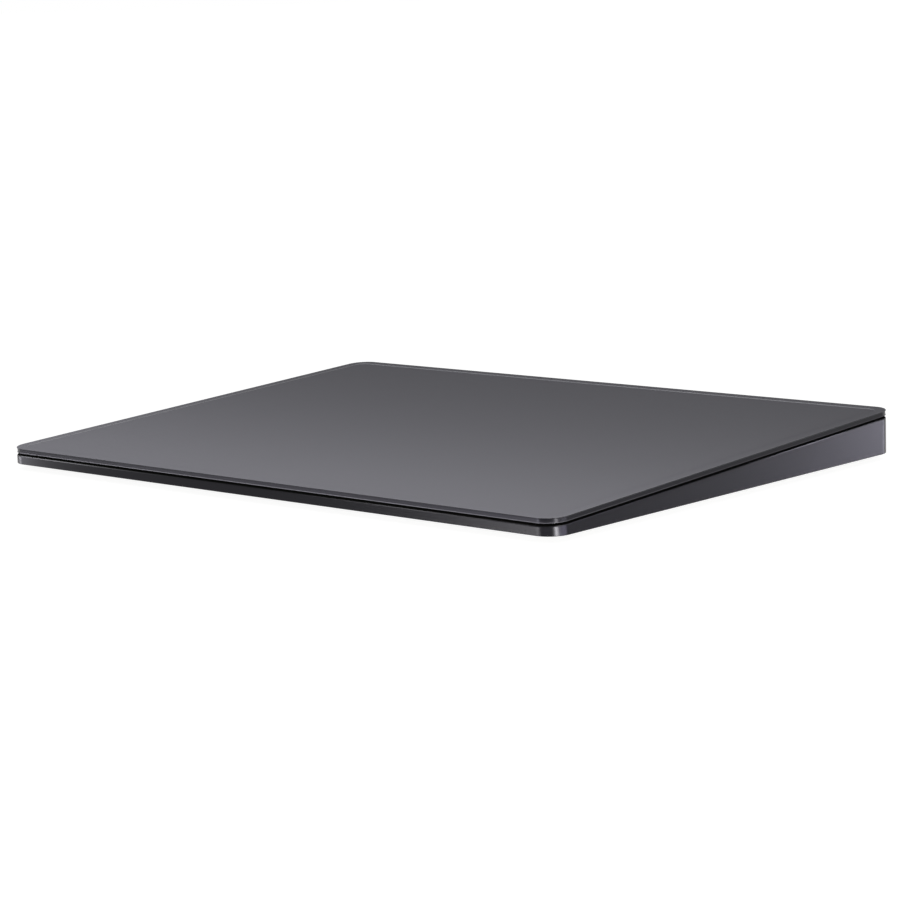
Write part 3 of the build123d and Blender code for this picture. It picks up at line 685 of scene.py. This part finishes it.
def islands(node):
    """Top and its normal for each separate piece in a node, in the order of their places."""
    form = bmesh.new()
    form.from_mesh(frame["nodes"][node].data)
    bmesh.ops.remove_doubles(form, verts=form.verts, dist=WELD)
    seen = set()
    found = [flat_top(joined_to(vert, seen)) for vert in form.verts if vert not in seen]
    form.free()
    return sorted(found, key=lambda item: tuple(round(value / CLOSE) for value in item[0]))


SCREW_RADIUS = 1.25 * MM
SCREW_HEIGHT = 0.35 * MM
SCREW_EDGE = 0.1 * MM
SCREW_SOCKET = 0.72 * MM        # tip radius of the star socket
SCREW_SOCKET_DEPTH = 0.22 * MM
SCREW_SIDES = 36
STAR_POINTS = 6
STAR_WAIST_SHARE = 0.72         # of the socket's tip radius
SCREW_TURN_STEP = 47            # degrees from one screw to the next, so that no two sockets line up
SCREW_TURN_START_STEP = 19      # and from the first screw of one node to that of the next
SCREW_NODES = ("flexure_screws", "haptic_screws", "main_board_screws", "charge_socket_screws")


def screw_pattern():
    """Low flat-topped head with an eased edge and a six-pointed star socket."""
    made = Pattern("star_screw_head", {
        "Head radius": SCREW_RADIUS,
        "Head height": SCREW_HEIGHT,
        "Eased edge": SCREW_EDGE,
        "Socket radius": SCREW_SOCKET,
        "Socket depth": SCREW_SOCKET_DEPTH,
    })
    given = made.given
    height = given["Head height"]
    head = made.node("GeometryNodeMeshCylinder", Vertices=SCREW_SIDES, Side_Segments=2,
                     Radius=given["Head radius"], Depth=height).outputs["Mesh"]
    eased = made.maths("SUBTRACT", 1.0, made.maths("DIVIDE", given["Eased edge"], given["Head radius"]))
    top = made.maths("GREATER_THAN", made.z, made.scaled(height, 0.25))
    drawn_in = made.point(made.scaled(made.x, eased), made.scaled(made.y, eased), made.z)
    head = made.moved(head, top, Position=drawn_in)
    middle = made.maths("LESS_THAN", made.maths("ABSOLUTE", made.z), made.scaled(height, 0.25))
    lift = made.maths("SUBTRACT", made.scaled(height, 0.5), given["Eased edge"])
    head = made.moved(head, middle, Offset=made.point(z=lift))
    star = made.node("GeometryNodeMeshCylinder", Vertices=2 * STAR_POINTS, Radius=given["Socket radius"],
                     Depth=made.scaled(given["Socket depth"], 2.0)).outputs["Mesh"]
    order = made.node("GeometryNodeInputIndex").outputs[0]
    waist = made.maths("LESS_THAN", made.maths("MODULO", order, 2.0), 0.5)
    waisted = made.point(made.scaled(made.x, STAR_WAIST_SHARE), made.scaled(made.y, STAR_WAIST_SHARE), made.z)
    star = made.moved(star, waist, Position=waisted)
    star = made.shifted(star, z=made.scaled(height, 0.5))
    cut = made.node("GeometryNodeMeshBoolean", {"operation": "DIFFERENCE"}, Mesh_1=head, Mesh_2=star)
    made.place_on_points(made.shifted(cut.outputs["Mesh"], z=made.scaled(height, -0.5)))
    return made


def make_screws():
    """Every screw head, seated where its solid is and turned by an angle of its own."""
    pattern = screw_pattern()
    for order, node in enumerate(SCREW_NODES):
        places = []
        for index, (top, normal) in enumerate(islands(node)):
            tilt = Vector((0, 0, 1)).rotation_difference(normal).to_matrix()
            angle = radians(SCREW_TURN_STEP * index + SCREW_TURN_START_STEP * order)
            places.append((top, (tilt @ Matrix.Rotation(angle, 3, "Z")).to_euler()))
        heads = pattern.grow(node + "_fine", places, FINISHES["screw"])
        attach(heads, "base")
        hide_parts(node)


CONTACT_PITCH = 0.5 * MM
CONTACT_COUNT = 12
CONTACT_WIDTH = 0.25 * MM
CONTACT_THICKNESS = 0.05 * MM
CONTACT_LENGTH = 3.3 * MM
CONTACT_SETBACK = 0.45 * MM     # from the tongue's tip
CONTACT_NOSE = 0.3 * MM         # tapered front end
CONTACT_NOSE_WIDTH_SHARE = 0.6
CONTACT_NOSE_THICKNESS_SHARE = 0.2
BLADE_THICKNESS = 0.7 * MM      # tongue's blade


def contact_pattern():
    """Flat contact strip along Y, its front end drawn in."""
    made = Pattern("tongue_contact", {
        "Strip width": CONTACT_WIDTH,
        "Strip thickness": CONTACT_THICKNESS,
        "Strip length": CONTACT_LENGTH,
        "Nose length": CONTACT_NOSE,
    })
    given = made.given
    length = given["Strip length"]
    size = made.point(given["Strip width"], length, given["Strip thickness"])
    strip = made.node("GeometryNodeMeshCube", Size=size, Vertices_X=2, Vertices_Y=3,
                      Vertices_Z=2).outputs["Mesh"]
    middle = made.maths("LESS_THAN", made.maths("ABSOLUTE", made.y), made.scaled(length, 0.25))
    tip = made.scaled(length, 0.5)
    strip = made.moved(strip, middle, Offset=made.point(y=made.maths("SUBTRACT", tip, given["Nose length"])))
    half_nose = made.scaled(given["Nose length"], 0.5)
    nose = made.maths("GREATER_THAN", made.y, made.maths("SUBTRACT", tip, half_nose))
    slim = made.point(made.scaled(made.x, CONTACT_NOSE_WIDTH_SHARE), made.y,
                      made.scaled(made.z, CONTACT_NOSE_THICKNESS_SHARE))
    made.place_on_points(made.moved(strip, nose, Position=slim))
    return made


def make_contacts():
    """Two rows of contacts, above and below the blade of the charging socket's tongue."""
    low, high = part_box("charge_socket_tongue")
    middle = (low + high) / 2
    reach = high.y - CONTACT_SETBACK - CONTACT_LENGTH / 2
    places = []
    for side, turn in ((1, (0, 0, 0)), (-1, (0, pi, 0))):
        for step in range(CONTACT_COUNT):
            x = (step - (CONTACT_COUNT - 1) / 2) * CONTACT_PITCH
            places.append(((middle.x + x, reach, middle.z + side * BLADE_THICKNESS / 2), turn))
    contacts = contact_pattern().grow("charge_socket_contacts", places, FINISHES["contact_gold"])
    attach(contacts, "base")


# Stage: floor, lamps and camera

FLOOR_HALF = 40.0
FLOOR_DROP = 0.02 * MM          # below the feet
FLOOR_COLOUR = (0.8, 0.8, 0.8, 1)           # for the light that it throws back at the object
FLOOR_SHADE = (0.32, 0.32, 0.32, 1)         # where it is seen, lit, on top of its own glow
FLOOR_GLOW = 0.91
WORLD_LIGHT = 0.42              # of white, that falls on the object


def where_seen(made):
    """1 for the rays that show the background, which are those of the camera, of shine and of clear parts."""
    path = made.node("ShaderNodeLightPath").outputs
    seen = made.maths("MAXIMUM", path["Is Camera Ray"], path["Is Glossy Ray"])
    return made.maths("MAXIMUM", seen, path["Is Transmission Ray"])


def pale_floor():
    """Glows white where it is seen, takes the object's shadow, and is clear from below."""
    material = bpy.data.materials.new("pale_floor")
    material.use_nodes = True
    made = Wiring(material.node_tree)
    made.tree.nodes.clear()
    plain = made.joined("ShaderNodeBsdfDiffuse", FLOOR_COLOUR)
    shade = made.joined("ShaderNodeBsdfDiffuse", FLOOR_SHADE)
    glow = made.node("ShaderNodeEmission", Strength=FLOOR_GLOW).outputs[0]
    bright = made.joined("ShaderNodeAddShader", shade, glow)
    above = made.joined("ShaderNodeMixShader", where_seen(made), plain, bright)
    clear = made.joined("ShaderNodeBsdfTransparent")
    below = made.node("ShaderNodeNewGeometry").outputs["Backfacing"]
    made.node("ShaderNodeOutputMaterial", Surface=made.joined("ShaderNodeMixShader", below, above, clear))
    return material


def make_floor():
    """A wide floor just below the feet."""
    mesh = bpy.data.meshes.new("floor")
    half = FLOOR_HALF
    corners = [(-half, -half), (half, -half), (half, half), (-half, half)]
    mesh.from_pydata([(x, y, -FLOOR_DROP) for x, y in corners], [], [(0, 1, 2, 3)])
    mesh.materials.append(pale_floor())
    floor = bpy.data.objects.new("floor", mesh)
    bpy.context.scene.collection.objects.link(floor)


def make_world():
    """White where it is seen, and a softer white as light."""
    world = bpy.data.worlds.new("studio")
    bpy.context.scene.world = world
    world.use_nodes = True
    made = Wiring(world.node_tree)
    background = made.tree.nodes["Background"]
    background.inputs["Color"].default_value = (1, 1, 1, 1)
    level = made.node("ShaderNodeMapRange", Value=where_seen(made), To_Min=WORLD_LIGHT, To_Max=1.0)
    made.feed(background.inputs["Strength"], level.outputs["Result"])


WHITE = (1.0, 1.0, 1.0)         # colours of the lamps
WARM = (1.0, 1.01, 0.90)
COOL = (0.97, 0.95, 1.08)
NEAR_CORNER = (0.08, -0.057, 0.005)         # front right corner, which the lamps aim at
RIGHT_SIDE_FRONT = (0.08, -0.05, 0.005)
RIGHT_SIDE = (0.08, -0.04, 0.005)
REAR_CORNER = (0.08, 0.055, 0.006)
LEFT_CORNER = (-0.077, -0.057, 0.004)
FRONT_EDGE = (0, -0.057, 0.004)
TOP_FRONT = (0, -0.03, 0)

# name, what it lights, place, aim, width, height, power in watts, colour
LAMPS = [
    ("front_row", "plate", (0, -0.09, 0.08), TOP_FRONT, 0.9, 0.03, 0.72, WHITE),
    ("right_strip", "all", (0.533, -0.268, 0.045), NEAR_CORNER, 0.07, 0.08, 3.2, WARM),
    ("right_glint", "body", (0.535, -0.255, 0.045), NEAR_CORNER, 0.15, 0.08, 9.6, WARM),
    ("right_wide", "body", (0.59, 0.03, 0.045), RIGHT_SIDE_FRONT, 0.40, 0.08, 5.0, COOL),
    ("right_soft", "plate", (0.560, 0.09, 0.045), RIGHT_SIDE, 0.32, 0.08, 1.6, WHITE),
    ("corner_front", "body", (-0.025, -0.228, 0.05), NEAR_CORNER, 0.09, 0.08, 0.84, WARM),
    ("left_end", "body", (-0.104, -0.070, 0.012), LEFT_CORNER, 0.012, 0.02, 0.024, WHITE),
    ("rear_right", "body", (0.168, 0.235, 0.06), REAR_CORNER, 0.03, 0.10, 0.46, COOL),
    ("front_fill", "body", (0.20, -0.42, 0.045), NEAR_CORNER, 0.25, 0.08, 0.24, WHITE),
    ("front_strip", "plate", (-0.155, -0.497, 0.045), NEAR_CORNER, 0.08, 0.08, 1.4, WHITE),
    ("left_soft", "plate", (-1.042, -1.136, 0.2), FRONT_EDGE, 0.8, 0.4, 7.0, WHITE),
]


def make_lamps(pieces):
    """Soft lamps. One that lights a single piece is linked to a collection of that piece alone."""
    kept_to = {}
    for name, piece in pieces.items():
        kept_to[name] = bpy.data.collections.new("lit_" + name)
        kept_to[name].objects.link(piece)
    for name, lit, place, aim, wide, high, power, colour in LAMPS:
        data = bpy.data.lights.new(name, "AREA")
        data.shape = "RECTANGLE"
        data.size = wide
        data.size_y = high
        data.energy = power
        data.color = colour
        lamp = bpy.data.objects.new(name, data)
        lamp.location = place
        lamp.rotation_mode = "QUATERNION"
        lamp.visible_camera = False
        lamp.rotation_quaternion = (Vector(aim) - Vector(place)).to_track_quat("-Z", "Y")
        bpy.context.scene.collection.objects.link(lamp)
        if lit in kept_to:
            lamp.light_linking.receiver_collection = kept_to[lit]


def make_camera():
    """The camera that took the photograph, with its slight roll."""
    back = Vector((sin(VIEW_AZIMUTH) * cos(VIEW_ELEVATION), -cos(VIEW_AZIMUTH) * cos(VIEW_ELEVATION),
                   sin(VIEW_ELEVATION)))
    across = Vector((0, 0, 1)).cross(back).normalized()
    upward = back.cross(across)
    right = cos(VIEW_ROLL) * across + sin(VIEW_ROLL) * upward
    up = -sin(VIEW_ROLL) * across + cos(VIEW_ROLL) * upward
    data = bpy.data.cameras.new("camera")
    data.sensor_width = SENSOR
    data.lens = VIEW_LENS_SHARE * SENSOR
    data.clip_start = 0.01
    data.clip_end = 100.0
    camera = bpy.data.objects.new("camera", data)
    place = VIEW_AIM + back * VIEW_DISTANCE + right * VIEW_SLIDE[0] + up * VIEW_SLIDE[1]
    camera.matrix_world = Matrix.Translation(place) @ Matrix((right, up, back)).transposed().to_4x4()
    bpy.context.scene.collection.objects.link(camera)
    bpy.context.scene.camera = camera


finish_nodes()
plate = fine_plate()
body = fine_body()
fine_touch_flex()
make_screws()
make_contacts()
make_floor()
make_world()
make_lamps({"plate": plate, "body": body})
make_camera()
bpy.context.scene.view_settings.view_transform = "Standard"
